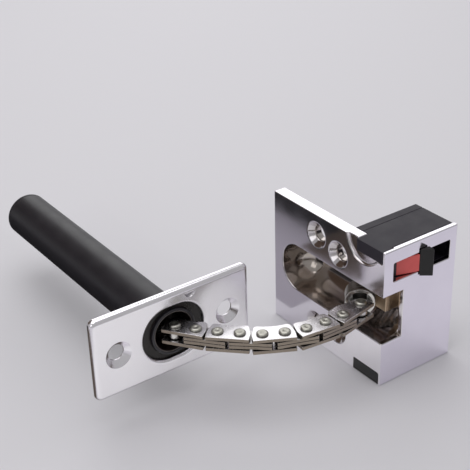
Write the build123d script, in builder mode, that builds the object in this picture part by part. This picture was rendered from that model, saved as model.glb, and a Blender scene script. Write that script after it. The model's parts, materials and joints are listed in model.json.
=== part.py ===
from build123d import *
import math
import os

# A concealed door chain: a tube with a face plate for the edge of the door, a one-way plate chain,
# and a keep for the door frame that holds the chain's end knob.
# Frame: origin in the middle of the face plate's back, +Y along the tube into the door,
# +X along the face plate towards the keep, +Z up. Millimetres.

FIT = 0.02        # pressed or seated pieces
RUN = 0.07        # a piece that turns or slides in its seat, on the radius
GAP = 0.25        # free air between faces that pass each other
SEAT = 0.3        # the end knob against the lock bolt that holds it

# Face plate
PLATE_L = 54.0
PLATE_H = 27.0
PLATE_T = 2.2
PLATE_CORNER = 1.9
PLATE_EDGE = 1.6
MOUTH_L = 21.0
MOUTH_H = 17.3
MOUTH_EDGE = 1.2
SCREW_R = 2.5
SCREW_SINK_R = 4.3
SINK_ANGLE = 90
PLATE_SCREW_X = 18.9
STAKE_X = 5.9
STAKE_Z = 10.9
STAKE_R = 1.0
STAKE_DEPTH = 0.7

# Tube and what it holds
TUBE_R = 7.5
TUBE_BORE_R = 6.6
TUBE_FRONT = -1.8
TUBE_LEN = 93.4
CAP_T = 1.6
CAP_PLUG = 5.0
CAP_BEVEL = 0.8
COLLAR_MARGIN = 2.0
COLLAR_FLANGE_T = 3.0
COLLAR_RECESS = 1.4
BUSH_FRONT_SET = 0.2
BUSH_END = 8.0
BUSH_BORE_R = 5.4
BUSH_FUNNEL_END = 3.0
DRAW_OUT = 3.0
HEAD_LEN = 4.0
TONGUE_W = 4.2
TONGUE_T = 2.0
STUB_R = 2.4
STUB_LEN = 4.0
SPRING_WIRE = 0.8
SPRING_R = 3.3
SPRING_TURNS = 9

# Chain
PITCH = 6.5
END_PITCH = 8.5
FIRST_PIN_Y = -2.4
HEADINGS = (35.0, 39.5, 45.0, 48.0, 61.0, 69.0, 83.0, 88.5, 101.0)  # from -Y towards +X
LINK_END = 3.15
LINK_FRONT = 3.1
LINK_BACK = 4.4
LINK_WAIST = 0.7
LINK_SLANT = 14.0
LINK_ROUND = 1.3
OUTER_T = 1.1
INNER_T = 1.04
INNER_INSET = 0.15
INNER_SPLIT = 0.05
PIN_R = 1.15
PIN_HEAD_R = 1.75
PIN_HEAD_H = 0.75
PIN_HEAD_BEVEL = 0.6
END_NOSE_R = 2.6
NOSE_TAPER = 0.3

# End knob
KNOB_HEADING = 140.0
KNOB_START = 4.0
KNOB_R = 4.6
KNOB_GROOVE_R = 4.1
KNOB_CUP_R = 3.6
KNOB_RIM = 1.3
KNOB_CUP_DEPTH = 3.6
KNOB_LEN = 6.2
KNOB_RIBS = 4
KNOB_RIB = 0.55
KNOB_RIB_STEP = 1.15

# Keep bracket, measured from its outer front corner
KEEP_X = 50.8
KEEP_Y = -35.6
KEEP_H = 46.0
LEAF_L = 51.7
LEAF_T = 4.3
FRONT_W = 29.3
FRONT_T = 1.8
KEEP_EDGE = 0.7
SLOT_H = 16.1
SLOT_END = 47.3
SLOT_ROUND = 4.7
TROUGH_DEPTH = 12.0
BOSS_WALL = 2.3
NOTCH_W = 8.1
REAR_HOLE_Y = 30.6
REAR_HOLE_Z = 16.1
FRONT_HOLE_Y = 20.4
FRONT_HOLE_Z = 13.7
TAB_START = 1.0
TAB_END = 12.2
TAB_H = 4.0
WINDOW_X0 = 3.8
WINDOW_X1 = 26.4
WINDOW_SILL = 0.1     # above the cavity's floor
WINDOW_HEAD = 3.08    # below its roof
SCOOP_Y = 9.3
SCOOP_R = 8.0
SCOOP_FLOOR_R = 5.6
SCOOP_DEPTH = 0.8

# Switch
HOUSING_Z0 = 10.8
HOUSING_Y1 = 14.3
COVER_Y1 = 17.4
HOUSING_WALL = 1.4
SLIDER_T = 2.0
SLIDER_X0 = 5.4
SLIDER_X1 = 19.0
RAMP_X0 = 6.6
RAMP_X1 = 13.7
THUMB_X1 = 17.0
THUMB_OUT = 2.8
THUMB_H = 9.0
SWITCH_TRAVEL = 8.0
BOLT_X0 = 5.2
BOLT_X1 = 11.0
BOLT_BAR_X1 = 18.6
BOLT_BAR_H = 3.0
BOLT_FOOT_Z = -0.6
CAM_R = 1.0
CAM_X = 16.6
CAM_EDGE = 0.92       # from the cam slot's ends to the cavity
COVER_SCREW_R = 1.2
COVER_SCREW_HEAD_R = 2.2

os.makedirs("parts", exist_ok=True)

# Shared layers of the chain
inner_top = INNER_SPLIT + INNER_T
outer_low = inner_top + GAP
outer_top = outer_low + OUTER_T
pin_tip = outer_top + PIN_HEAD_H


def heading_vector(degrees):
    """Unit vector in plan for a heading measured from -Y towards +X."""
    a = math.radians(degrees)
    return Vector(math.sin(a), -math.cos(a), 0)


def link_plane(pin, degrees, z=0.0):
    """Plane on a pin with x along the link and y towards the side the chain bends to."""
    return Plane(origin=(pin.X, pin.Y, z), x_dir=heading_vector(degrees), z_dir=(0, 0, 1))


def save(piece, name):
    """Label a finished piece and write its file."""
    piece.part.label = name
    export_step(piece.part, f"parts/{name}.step")


# Pin centres in plan, from the tube outwards
lengths = [PITCH] * (len(HEADINGS) - 1) + [END_PITCH]
pins = [Vector(0, FIRST_PIN_Y, 0)]
for step, angle in zip(lengths, HEADINGS):
    pins.append(pins[-1] + heading_vector(angle) * step)

# Face plate, its back on Y = 0
front = Plane.XZ.offset(PLATE_T)
with BuildPart() as face_plate:
    with BuildSketch(Plane.XZ):
        RectangleRounded(PLATE_L, PLATE_H, PLATE_CORNER)
    extrude(amount=PLATE_T)
    front_edges = face_plate.faces().sort_by(Axis.Y)[0].edges()
    fillet(front_edges, PLATE_EDGE)
    with BuildSketch(Plane.XZ):
        SlotOverall(MOUTH_L, MOUTH_H)
    extrude(amount=PLATE_T, mode=Mode.SUBTRACT)
    fillet(face_plate.faces().sort_by(Axis.Y)[0].inner_wires()[0].edges(), MOUTH_EDGE)
    with Locations(front):
        with GridLocations(2 * PLATE_SCREW_X, 1, 2, 1):
            CounterSinkHole(SCREW_R, SCREW_SINK_R, PLATE_T, SINK_ANGLE)
    with BuildSketch(front.offset(-STAKE_DEPTH)):
        with Locations((STAKE_X, STAKE_Z)):
            Circle(STAKE_R)
    extrude(amount=STAKE_DEPTH, mode=Mode.SUBTRACT)
save(face_plate, "face_plate")

# Collar that fills the mouth around the tube, with a flange behind the plate
with BuildPart() as plate_collar:
    with BuildSketch(Plane.XZ):
        SlotOverall(MOUTH_L - 2 * FIT, MOUTH_H - 2 * FIT)
    extrude(amount=PLATE_T - COLLAR_RECESS)
    with BuildSketch(Plane.XZ):
        SlotOverall(MOUTH_L + 2 * COLLAR_MARGIN, MOUTH_H + 2 * COLLAR_MARGIN)
    extrude(amount=-COLLAR_FLANGE_T)
    with BuildSketch(Plane.XZ.offset(PLATE_T)):
        Circle(TUBE_R + FIT)
    extrude(amount=-PLATE_T - COLLAR_FLANGE_T, mode=Mode.SUBTRACT)
save(plate_collar, "plate_collar")

# Tube
tube_plane = Plane(origin=(0, TUBE_FRONT, 0), x_dir=(1, 0, 0), z_dir=(0, 1, 0))
tube_end = TUBE_FRONT + TUBE_LEN
with BuildPart() as tube:
    with BuildSketch(tube_plane):
        Circle(TUBE_R)
        Circle(TUBE_BORE_R, mode=Mode.SUBTRACT)
    extrude(amount=TUBE_LEN)
save(tube, "tube")

# End cap with a stub that the spring sits on
cap_plane = Plane(origin=(0, tube_end, 0), x_dir=(1, 0, 0), z_dir=(0, 1, 0))
with BuildPart() as end_cap:
    with BuildSketch(cap_plane):
        Circle(TUBE_R)
    extrude(amount=CAP_T)
    chamfer(end_cap.faces().sort_by(Axis.Y)[-1].edges(), CAP_BEVEL)
    with BuildSketch(cap_plane):
        Circle(TUBE_BORE_R - FIT)
    extrude(amount=-CAP_PLUG)
    with BuildSketch(cap_plane):
        Circle(STUB_R)
    extrude(amount=-CAP_PLUG - STUB_LEN)
save(end_cap, "end_cap")

# Guide bush: a funnel for the chain, and the stop that the draw head meets
bush_front = TUBE_FRONT + BUSH_FRONT_SET
with BuildPart() as guide_bush:
    with BuildSketch(Plane.XY):
        with BuildLine():
            Polyline(
                (TUBE_BORE_R - 2 * RUN, bush_front),
                (TUBE_BORE_R - FIT, bush_front),
                (TUBE_BORE_R - FIT, BUSH_END),
                (BUSH_BORE_R, BUSH_END),
                (BUSH_BORE_R, BUSH_FUNNEL_END),
                close=True,
            )
        make_face()
    revolve(axis=Axis.Y)
save(guide_bush, "guide_bush")

# Draw head: a piston behind the bush, with a tongue out to the first pin
head_front = BUSH_END + DRAW_OUT
head_plane = Plane(origin=(0, head_front, 0), x_dir=(1, 0, 0), z_dir=(0, 1, 0))
with BuildPart() as draw_head:
    with BuildSketch(head_plane):
        Circle(TUBE_BORE_R - RUN)
    extrude(amount=HEAD_LEN)
    with BuildSketch(head_plane.offset(HEAD_LEN)):
        Circle(STUB_R)
    extrude(amount=STUB_LEN)
    with BuildSketch(Plane.XY):
        with Locations((0, FIRST_PIN_Y)):
            Circle(TONGUE_W / 2)
        with Locations((0, (FIRST_PIN_Y + head_front + FIT) / 2)):
            Rectangle(TONGUE_W, head_front + FIT - FIRST_PIN_Y)
    extrude(amount=TONGUE_T / 2, both=True)
    with BuildSketch(Plane.XY):
        with Locations((0, FIRST_PIN_Y)):
            Circle(PIN_R + RUN)
    extrude(amount=TONGUE_T / 2, both=True, mode=Mode.SUBTRACT)
save(draw_head, "draw_head")

# Return spring, stretched between the two stubs
spring_start = head_front + HEAD_LEN + SPRING_WIRE
spring_len = tube_end - CAP_PLUG - SPRING_WIRE - spring_start
with BuildPart() as return_spring:
    with BuildLine() as coil:
        Helix(spring_len / SPRING_TURNS, spring_len, SPRING_R, (0, spring_start, 0), (0, 1, 0))
    with BuildSketch(Plane(coil.line @ 0, z_dir=coil.line % 0)):
        RegularPolygon(SPRING_WIRE / 2, 4)
    sweep(path=coil.line)
save(return_spring, "return_spring")


def link_outline(length, inset, nose=False):
    """Outline of a link plate, its first pin on the origin and its back towards +Y.

    The front edge is straight with square ends, the back edge is waisted with slanted ends.
    A nosed plate is the last one, whose far end is round and narrow on the back."""
    end = LINK_END - inset
    low = inset - LINK_FRONT
    back = LINK_BACK - inset
    lean = back * math.tan(math.radians(LINK_SLANT))
    with BuildSketch(Plane.XY, mode=Mode.PRIVATE) as outline:
        with BuildLine():
            Polyline((length / 2, low), (-end, low), (-end, 0), (lean - end, back))
            if nose:
                Polyline((lean - end, back), (length * NOSE_TAPER, back), (length, END_NOSE_R))
                RadiusArc((length, END_NOSE_R), (length + END_NOSE_R, 0), END_NOSE_R)
                Polyline((length + END_NOSE_R, 0), (length + END_NOSE_R, low), (length / 2, low))
            else:
                middle = (length / 2, back - LINK_WAIST)
                ThreePointArc((lean - end, back), middle, (length + end - lean, back))
                Polyline((length + end - lean, back), (length + end, 0), (length + end, low))
                Line((length + end, low), (length / 2, low))
        make_face()
        fillet(outline.vertices().sort_by(Axis.Y)[-2:], LINK_ROUND)
    return outline.sketch


# Outer links: two plates and two riveted pins each
for number, index in enumerate(range(0, len(HEADINGS), 2), 1):
    last = index == len(HEADINGS) - 1
    length = lengths[index]
    for side, level in (("upper", outer_low), ("lower", -outer_top)):
        with BuildPart() as outer_plate:
            with BuildSketch(link_plane(pins[index], HEADINGS[index], level)):
                add(link_outline(length, 0.0, last))
                with Locations((0, 0), (length, 0)):
                    Circle(PIN_R + FIT, mode=Mode.SUBTRACT)
            extrude(amount=OUTER_T)
        save(outer_plate, f"outer_plate_{number}_{side}")
    with BuildPart() as link_pins:
        with Locations(link_plane(pins[index], HEADINGS[index])):
            with Locations((0, 0), (length, 0)):
                Cylinder(PIN_R, 2 * pin_tip)
            with Locations(
                (0, 0, outer_top + PIN_HEAD_H / 2),
                (length, 0, outer_top + PIN_HEAD_H / 2),
                (0, 0, -outer_top - PIN_HEAD_H / 2),
                (length, 0, -outer_top - PIN_HEAD_H / 2),
            ):
                Cylinder(PIN_HEAD_R, PIN_HEAD_H)
        levels = link_pins.faces().filter_by(Axis.Z).group_by(Axis.Z)
        chamfer(levels[0].edges() + levels[-1].edges(), PIN_HEAD_H * PIN_HEAD_BEVEL)
    save(link_pins, f"link_pins_{number}")

# Inner links: two plates each, free on the pins of their neighbours
for number, index in enumerate(range(1, len(HEADINGS), 2), 1):
    for side, level in (("upper", INNER_SPLIT), ("lower", -inner_top)):
        with BuildPart() as inner_plate:
            with BuildSketch(link_plane(pins[index], HEADINGS[index], level)):
                add(link_outline(PITCH, INNER_INSET))
                with Locations((0, 0), (PITCH, 0)):
                    Circle(PIN_R + RUN, mode=Mode.SUBTRACT)
            extrude(amount=INNER_T)
        save(inner_plate, f"inner_plate_{number}_{side}")

# End knob: a ribbed cup, its axis along the knob heading, with a tongue back to the last pin
knob_plane = link_plane(pins[-1], KNOB_HEADING)
knob_axis = Axis(knob_plane.origin, knob_plane.x_dir)
with BuildPart() as end_knob:
    with BuildSketch(knob_plane):
        with BuildLine():
            points = [(KNOB_START, KNOB_CUP_R), (KNOB_START, KNOB_R), (KNOB_START + KNOB_RIM, KNOB_R)]
            for rib in range(KNOB_RIBS):
                at = KNOB_START + KNOB_RIM + (rib + 1) * KNOB_RIB_STEP
                points += [(at - KNOB_RIB_STEP, KNOB_GROOVE_R), (at - KNOB_RIB, KNOB_GROOVE_R)]
                points += [(at - KNOB_RIB, KNOB_R), (at, KNOB_R)]
            points += [
                (KNOB_START + KNOB_LEN, KNOB_CUP_R),
                (KNOB_START + KNOB_LEN, 0),
                (KNOB_START + KNOB_CUP_DEPTH, 0),
                (KNOB_START + KNOB_CUP_DEPTH, KNOB_CUP_R),
            ]
            Polyline(*points, close=True)
        make_face()
    revolve(axis=knob_axis)
    with BuildSketch(knob_plane):
        Circle(TONGUE_W / 2)
        with Locations(((KNOB_START + KNOB_CUP_DEPTH + FIT) / 2, 0)):
            Rectangle(KNOB_START + KNOB_CUP_DEPTH + FIT, TONGUE_W)
    extrude(amount=TONGUE_T / 2, both=True)
    with BuildSketch(knob_plane):
        Circle(PIN_R + RUN)
    extrude(amount=TONGUE_T / 2, both=True, mode=Mode.SUBTRACT)
save(end_knob, "end_knob")

# Planes of the keep: the front leaf's face, the long leaf's face, and the plan at a height
keep_top = KEEP_H / 2
keep_front = Plane(origin=(KEEP_X, KEEP_Y, 0), x_dir=(1, 0, 0), z_dir=(0, -1, 0))
keep_side = Plane(origin=(KEEP_X, KEEP_Y, 0), x_dir=(0, 1, 0), z_dir=(1, 0, 0))


def keep_plan(z):
    """Plan plane of the keep at height z, its origin on the outer front corner."""
    return Plane(origin=(KEEP_X, KEEP_Y, z), x_dir=(1, 0, 0), z_dir=(0, 0, 1))


def keep_box(x0, x1, y0, y1, z0, z1, mode=Mode.ADD):
    """A block given by its limits in the keep's own coordinates."""
    with Locations((KEEP_X + x0, KEEP_Y + y0, z0)):
        Box(x1 - x0, y1 - y0, z1 - z0, align=(Align.MIN, Align.MIN, Align.MIN), mode=mode)


# Heights that the bracket shares with the switch in its housing
housing_top = keep_top - FIT
roof = housing_top - HOUSING_WALL
floor = HOUSING_Z0 + HOUSING_WALL
window_z0 = floor + WINDOW_SILL
window_z1 = roof - WINDOW_HEAD
cam_margin = CAM_R + RUN + CAM_EDGE
cam_z = floor + cam_margin
bolt_lift = roof - floor - 2 * cam_margin

# Space of the trough: a round bottom along the leaf, closed by a rounded rear end
with BuildPart() as trough_space:
    with BuildSketch(keep_front):
        SlotOverall(2 * TROUGH_DEPTH, SLOT_H)
    extrude(amount=-SLOT_END)
    fillet(trough_space.faces().sort_by(Axis.Y)[-1].edges(), SLOT_ROUND)

with BuildPart() as keep_bracket:
    keep_box(0, LEAF_T, 0, LEAF_L, -keep_top, keep_top)
    keep_box(0, FRONT_W, 0, FRONT_T, -keep_top, keep_top)
    far = keep_bracket.edges().filter_by(Axis.Z).sort_by(Axis.X)[-2:]
    fillet(far, KEEP_EDGE)
    # boss behind the leaf that holds the trough
    with BuildSketch(keep_front):
        SlotOverall(2 * (TROUGH_DEPTH + BOSS_WALL), SLOT_H + 2 * BOSS_WALL)
        with Locations((-TROUGH_DEPTH, 0)):
            Rectangle(2 * TROUGH_DEPTH, 2 * SLOT_H, mode=Mode.SUBTRACT)
    extrude(amount=-SLOT_END - BOSS_WALL)
    add(trough_space.part, mode=Mode.SUBTRACT)
    # the front leaf closes the trough beyond the notch
    keep_box(NOTCH_W, TROUGH_DEPTH + BOSS_WALL, 0, FRONT_T, -SLOT_H / 2, SLOT_H / 2)
    keep_box(0, NOTCH_W, 0, FRONT_T, -SLOT_H / 2, SLOT_H / 2, Mode.SUBTRACT)
    # screw holes, countersunk from the outer face
    with Locations(Plane(keep_side.origin, x_dir=(0, -1, 0), z_dir=(-1, 0, 0))):
        for hole_y, hole_z in ((REAR_HOLE_Y, REAR_HOLE_Z), (FRONT_HOLE_Y, FRONT_HOLE_Z)):
            with Locations((-hole_y, 0)):
                with GridLocations(1, 2 * hole_z, 1, 2):
                    CounterSinkHole(SCREW_R, SCREW_SINK_R, LEAF_T, SINK_ANGLE)
    # dished scoop around the upper tab, then notches for the tabs of the housing and the filler block
    with Locations(Plane(origin=(KEEP_X, KEEP_Y + SCOOP_Y, keep_top), x_dir=(0, 1, 0), z_dir=(1, 0, 0))):
        Cone(
            SCOOP_R,
            SCOOP_FLOOR_R,
            SCOOP_DEPTH,
            align=(Align.CENTER, Align.CENTER, Align.MIN),
            mode=Mode.SUBTRACT,
        )
    tab_x1 = LEAF_T + 2 * FIT
    keep_box(0, tab_x1, TAB_START, TAB_END, keep_top - TAB_H, keep_top, Mode.SUBTRACT)
    keep_box(0, tab_x1, TAB_START, TAB_END, -keep_top, TAB_H - keep_top, Mode.SUBTRACT)
    keep_box(WINDOW_X0, WINDOW_X1, 0, FRONT_T, window_z0, window_z1, Mode.SUBTRACT)
    # slot in the boss for the lock bolt
    bolt_y0 = FRONT_T + GAP + SLIDER_T + GAP
    knob_rim = knob_axis.position + knob_plane.x_dir * KNOB_START - knob_plane.y_dir * KNOB_R
    bolt_y1 = knob_rim.Y - KEEP_Y - SEAT
    keep_box(BOLT_X0 - GAP, BOLT_X1 + GAP, bolt_y0 - GAP, bolt_y1 + GAP, 0, HOUSING_Z0, Mode.SUBTRACT)
save(keep_bracket, "keep_bracket")

# Switch housing: open to the front leaf for the slider and bolt, and hollow behind
housing_x0 = LEAF_T + FIT
housing_x1 = FRONT_W - HOUSING_WALL / 2
with BuildPart() as switch_housing:
    keep_box(housing_x0, housing_x1, FRONT_T + FIT, HOUSING_Y1, HOUSING_Z0, housing_top)
    keep_box(FIT, housing_x0, TAB_START + FIT, TAB_END - FIT, keep_top - TAB_H + FIT, housing_top)
    wall_x1 = housing_x1 - HOUSING_WALL
    cavity_y1 = bolt_y1 + GAP
    keep_box(housing_x0 + FIT, wall_x1, FRONT_T + FIT, cavity_y1, floor, roof, Mode.SUBTRACT)
    pillar_y = cavity_y1 + HOUSING_WALL
    keep_box(housing_x0 + HOUSING_WALL, wall_x1, pillar_y, HOUSING_Y1, floor, roof, Mode.SUBTRACT)
    keep_box(BOLT_X0 - GAP, BOLT_X1 + GAP, bolt_y0 - GAP, bolt_y1 + GAP, HOUSING_Z0, floor, Mode.SUBTRACT)
    # pillars for the cover screws
    screw_x0 = housing_x0 + 2 * HOUSING_WALL
    screw_x1 = housing_x1 - 2 * HOUSING_WALL
    screw_z = (HOUSING_Z0 + keep_top) / 2
    rear = Plane(origin=(KEEP_X, KEEP_Y + HOUSING_Y1, screw_z), x_dir=(-1, 0, 0), z_dir=(0, 1, 0))
    with BuildSketch(rear):
        with Locations((-screw_x0, 0), (-screw_x1, 0)):
            Circle(2 * HOUSING_WALL)
    extrude(amount=pillar_y - HOUSING_Y1)
    with BuildSketch(rear):
        with Locations((-screw_x0, 0), (-screw_x1, 0)):
            Circle(COVER_SCREW_R + FIT)
    extrude(amount=pillar_y - HOUSING_Y1, mode=Mode.SUBTRACT)
save(switch_housing, "switch_housing")

# Housing cover, a shallow lid on the back of the housing
cover_rear = Plane(origin=(KEEP_X, KEEP_Y + COVER_Y1, screw_z), x_dir=(-1, 0, 0), z_dir=(0, 1, 0))
lid_y = HOUSING_Y1 + FIT
with BuildPart() as housing_cover:
    keep_box(housing_x0, housing_x1, lid_y, COVER_Y1, HOUSING_Z0, housing_top)
    with BuildSketch(cover_rear):
        with Locations((-screw_x0, 0), (-screw_x1, 0)):
            Circle(COVER_SCREW_R + FIT)
    extrude(amount=lid_y - COVER_Y1, mode=Mode.SUBTRACT)
    with BuildSketch(cover_rear):
        with Locations((-screw_x0, 0), (-screw_x1, 0)):
            Circle(COVER_SCREW_HEAD_R + FIT)
    extrude(amount=-HOUSING_WALL, mode=Mode.SUBTRACT)
save(housing_cover, "housing_cover")

with BuildPart() as cover_screws:
    with BuildSketch(cover_rear.offset(-HOUSING_WALL)):
        with Locations((-screw_x0, 0), (-screw_x1, 0)):
            Circle(COVER_SCREW_R)
    extrude(amount=pillar_y + FIT + HOUSING_WALL - COVER_Y1)
    with BuildSketch(cover_rear.offset(-HOUSING_WALL)):
        with Locations((-screw_x0, 0), (-screw_x1, 0)):
            Circle(COVER_SCREW_HEAD_R)
    extrude(amount=HOUSING_WALL)
save(cover_screws, "cover_screws")

# Filler block under the trough, with its tab in the lower notch and a hollow rear
with BuildPart() as filler_block:
    keep_box(housing_x0, housing_x1, FRONT_T + FIT, HOUSING_Y1, -housing_top, -HOUSING_Z0)
    keep_box(FIT, housing_x0, TAB_START + FIT, TAB_END - FIT, -housing_top, TAB_H - FIT - keep_top)
    keep_box(
        housing_x0 + HOUSING_WALL, wall_x1, FRONT_T + HOUSING_WALL, HOUSING_Y1, -roof, -floor, Mode.SUBTRACT
    )
save(filler_block, "filler_block")

# Switch slider: a plate behind the window with a slanted cam slot
slider_y0 = FRONT_T + GAP
slider_y1 = slider_y0 + SLIDER_T
slider_z0 = floor + GAP
slider_z1 = roof - GAP
with BuildPart() as switch_slider:
    keep_box(SLIDER_X0, SLIDER_X1, slider_y0, slider_y1, slider_z0, slider_z1)
    with BuildSketch(keep_front.offset(-slider_y0)):
        middle = (CAM_X - SWITCH_TRAVEL / 2, cam_z + bolt_lift / 2)
        SlotCenterPoint(middle, (CAM_X, cam_z), 2 * (CAM_R + RUN))
    extrude(amount=-SLIDER_T, mode=Mode.SUBTRACT)
save(switch_slider, "switch_slider")

# Red ramp inside the window, rising from the slider to the thumb piece
ramp_z0 = window_z0 + GAP
ramp_z1 = window_z1 - GAP
with BuildPart() as red_indicator:
    with BuildSketch(keep_plan(ramp_z0)):
        with BuildLine():
            Polyline(
                (RAMP_X0, slider_y0), (RAMP_X1, -GAP), (RAMP_X1, slider_y0), close=True
            )
        make_face()
    extrude(amount=ramp_z1 - ramp_z0)
save(red_indicator, "red_indicator")

# Black thumb piece: a neck through the window and a taller slanted head in front of the leaf
with BuildPart() as switch_thumb:
    keep_box(RAMP_X1 + FIT, THUMB_X1, -GAP, slider_y0, ramp_z0, ramp_z1)
    with BuildSketch(keep_plan((window_z0 + window_z1 - THUMB_H) / 2)):
        with BuildLine():
            Polyline(
                (RAMP_X1 + FIT, -GAP), (THUMB_X1, -THUMB_OUT), (THUMB_X1 + GAP, -GAP), close=True
            )
        make_face()
    extrude(amount=THUMB_H)
save(switch_thumb, "switch_thumb")

# Lock bolt: a bar carried on the slider's cam, with a leg down into the trough in front of the knob
bolt_top = cam_z + BOLT_BAR_H / 2
with BuildPart() as lock_bolt:
    keep_box(BOLT_X0, BOLT_BAR_X1, bolt_y0, bolt_y1, bolt_top - BOLT_BAR_H, bolt_top)
    keep_box(BOLT_X0, BOLT_X1, bolt_y0, bolt_y1, BOLT_FOOT_Z, bolt_top)
    with BuildSketch(keep_front.offset(-bolt_y0)):
        with Locations((CAM_X, cam_z)):
            Circle(CAM_R)
    extrude(amount=SLIDER_T)
save(lock_bolt, "lock_bolt")
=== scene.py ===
"""Looks of a concealed door chain: the tube unit, the one-way plate chain and the plated keep.

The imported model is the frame. Every visible piece is a finer mesh made here, which stands for one or
more nodes of the frame. Lengths are written in millimetres and turned to metres by MM.
"""

from __future__ import annotations

import json
import logging
import math
from dataclasses import dataclass, field
from enum import Enum
from typing import Any, Sequence

import bmesh
import bpy
from mathutils import Matrix, Vector

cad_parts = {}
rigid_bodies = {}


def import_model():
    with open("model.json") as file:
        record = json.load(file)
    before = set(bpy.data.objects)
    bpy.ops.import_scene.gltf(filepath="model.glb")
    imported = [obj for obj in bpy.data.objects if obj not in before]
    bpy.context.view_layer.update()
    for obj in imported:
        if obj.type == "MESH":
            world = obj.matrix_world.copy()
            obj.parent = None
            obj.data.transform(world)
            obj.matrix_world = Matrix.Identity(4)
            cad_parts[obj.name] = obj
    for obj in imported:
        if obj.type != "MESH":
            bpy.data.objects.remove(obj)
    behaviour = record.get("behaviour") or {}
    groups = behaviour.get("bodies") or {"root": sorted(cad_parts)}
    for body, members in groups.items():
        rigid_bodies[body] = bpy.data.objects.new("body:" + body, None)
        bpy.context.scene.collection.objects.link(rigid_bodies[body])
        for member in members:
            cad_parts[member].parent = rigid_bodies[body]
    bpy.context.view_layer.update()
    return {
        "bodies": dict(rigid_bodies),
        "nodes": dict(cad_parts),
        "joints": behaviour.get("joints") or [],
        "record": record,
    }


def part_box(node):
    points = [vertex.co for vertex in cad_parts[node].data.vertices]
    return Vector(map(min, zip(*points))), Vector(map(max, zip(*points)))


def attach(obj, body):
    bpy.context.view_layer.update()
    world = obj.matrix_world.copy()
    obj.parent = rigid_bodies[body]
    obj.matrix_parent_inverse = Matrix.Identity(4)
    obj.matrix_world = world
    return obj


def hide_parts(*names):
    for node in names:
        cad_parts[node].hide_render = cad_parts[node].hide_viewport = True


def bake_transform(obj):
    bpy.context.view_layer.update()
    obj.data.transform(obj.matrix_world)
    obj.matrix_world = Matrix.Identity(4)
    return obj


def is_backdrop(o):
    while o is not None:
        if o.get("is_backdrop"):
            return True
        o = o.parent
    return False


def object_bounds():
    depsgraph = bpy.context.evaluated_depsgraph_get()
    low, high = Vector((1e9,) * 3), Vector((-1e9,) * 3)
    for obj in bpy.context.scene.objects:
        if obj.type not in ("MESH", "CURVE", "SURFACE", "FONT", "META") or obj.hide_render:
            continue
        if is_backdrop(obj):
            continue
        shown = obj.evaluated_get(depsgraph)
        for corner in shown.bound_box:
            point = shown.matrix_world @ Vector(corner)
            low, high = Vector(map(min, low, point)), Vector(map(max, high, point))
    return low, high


Point = tuple[float, float]
Place = tuple[float, float, float]
Tree = bpy.types.NodeTree
Socket = bpy.types.NodeSocket
Piece = bpy.types.Object

LOG = logging.getLogger("door_chain")

MM = 0.001
TO_METRES = Matrix.Scale(MM, 4)
ALONG_X = Matrix.Rotation(math.pi / 2, 4, "Y")
ALONG_Y = Matrix.Rotation(-math.pi / 2, 4, "X")

# Vertices nearer than MERGE are one, and faces that turn by less than FLAT_ANGLE are one flat
MERGE = 0.002 * MM
FLAT_ANGLE = math.radians(0.05)
SMOOTH_ANGLE = math.radians(32)
BEVEL_ANGLE = math.radians(38)

# Settings of a colour mix, and the numbers of its sockets
COLOURS = {"data_type": "RGBA"}
FIRST, SECOND, MIXED = 6, 7, 2

# Depth of the finest relief, and how noise makes patches, scratches and turned rings
RELIEF = 0.02 * MM
PATCHES = {"Detail": 3.0, "Roughness": 0.6}
PATCH_SPAN = (0.3, 0.7)
PEEL_DETAIL = 2.0
SCRATCH_DETAIL = 3.0
SCRATCH_RUN = {"Rotation": (0.3, 0.2, 0.6), "Scale": (1.0, 0.12, 1.0)}
RING_WANDER = 1.5

# Spans of the masks: how far normals part at an edge that gets a painted highlight, and how upright a
# sheared wall is
EDGE_HIGHLIGHT_SPAN = (0.99, 0.85)
WALL_SPAN = (0.75, 0.3)
# Samples of the painted edge highlight, and of the painted shade in crevices
EDGE_HIGHLIGHT_SAMPLES = 4
CREVICE_SHADE_SAMPLES = 6


class Surface(Enum):
    """How a surface was made, which sets the pattern that it shows."""

    PLATED = "plated over a polished die casting"
    COATED = "sprayed and stoved"
    MOULDED = "moulded in a spark eroded tool"
    TUMBLED = "stamped, then tumbled"
    TURNED = "turned on a lathe"


class Carving(Enum):
    """What a tool does to a solid, in the modifier's own words."""

    CUT = "DIFFERENCE"
    JOIN = "UNION"


class Link(Enum):
    """The two kinds of link, which take turns along the chain."""

    OUTER = "outer"
    INNER = "inner"


def linear(code: str) -> tuple[float, float, float, float]:
    """Turns an sRGB hex colour to linear.

    Args:
        code: Six hex digits, with or without a leading hash.

    Returns:
        Linear red, green and blue with an alpha of one.
    """
    code = code.lstrip("#")
    parts = [int(code[i : i + 2], 16) / 255 for i in (0, 2, 4)]
    light = [c / 12.92 if c <= 0.04045 else ((c + 0.055) / 1.055) ** 2.4 for c in parts]
    return light[0], light[1], light[2], 1.0


def add_node(
    tree: Tree,
    kind: str,
    settings: dict[str, Any] | None = None,
    values: dict[Any, Any] | None = None,
    links: dict[Any, Socket] | None = None,
) -> bpy.types.Node:
    """Adds one node to a tree.

    Args:
        tree: The material's or geometry's node tree.
        kind: The node's type name.
        settings: The node's own properties.
        values: Constants for its inputs, by name or number.
        links: Output sockets that feed its inputs, by name or number.

    Returns:
        The new node.
    """
    node = tree.nodes.new(kind)
    for key, value in (settings or {}).items():
        setattr(node, key, value)
    for key, value in (values or {}).items():
        node.inputs[key].default_value = value
    for key, socket in (links or {}).items():
        tree.links.new(socket, node.inputs[key])
    return node


def texture_scale(size_mm: float) -> dict[str, float]:
    """Input value of a texture whose features have the given size."""
    return {"Scale": 1 / (size_mm * MM)}


def spread(start: Point, end: Point = (0.0, 1.0)) -> dict[str, float]:
    """Input values that spread one span of numbers over another."""
    return {"From Min": start[0], "From Max": start[1], "To Min": end[0], "To Max": end[1]}


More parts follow.
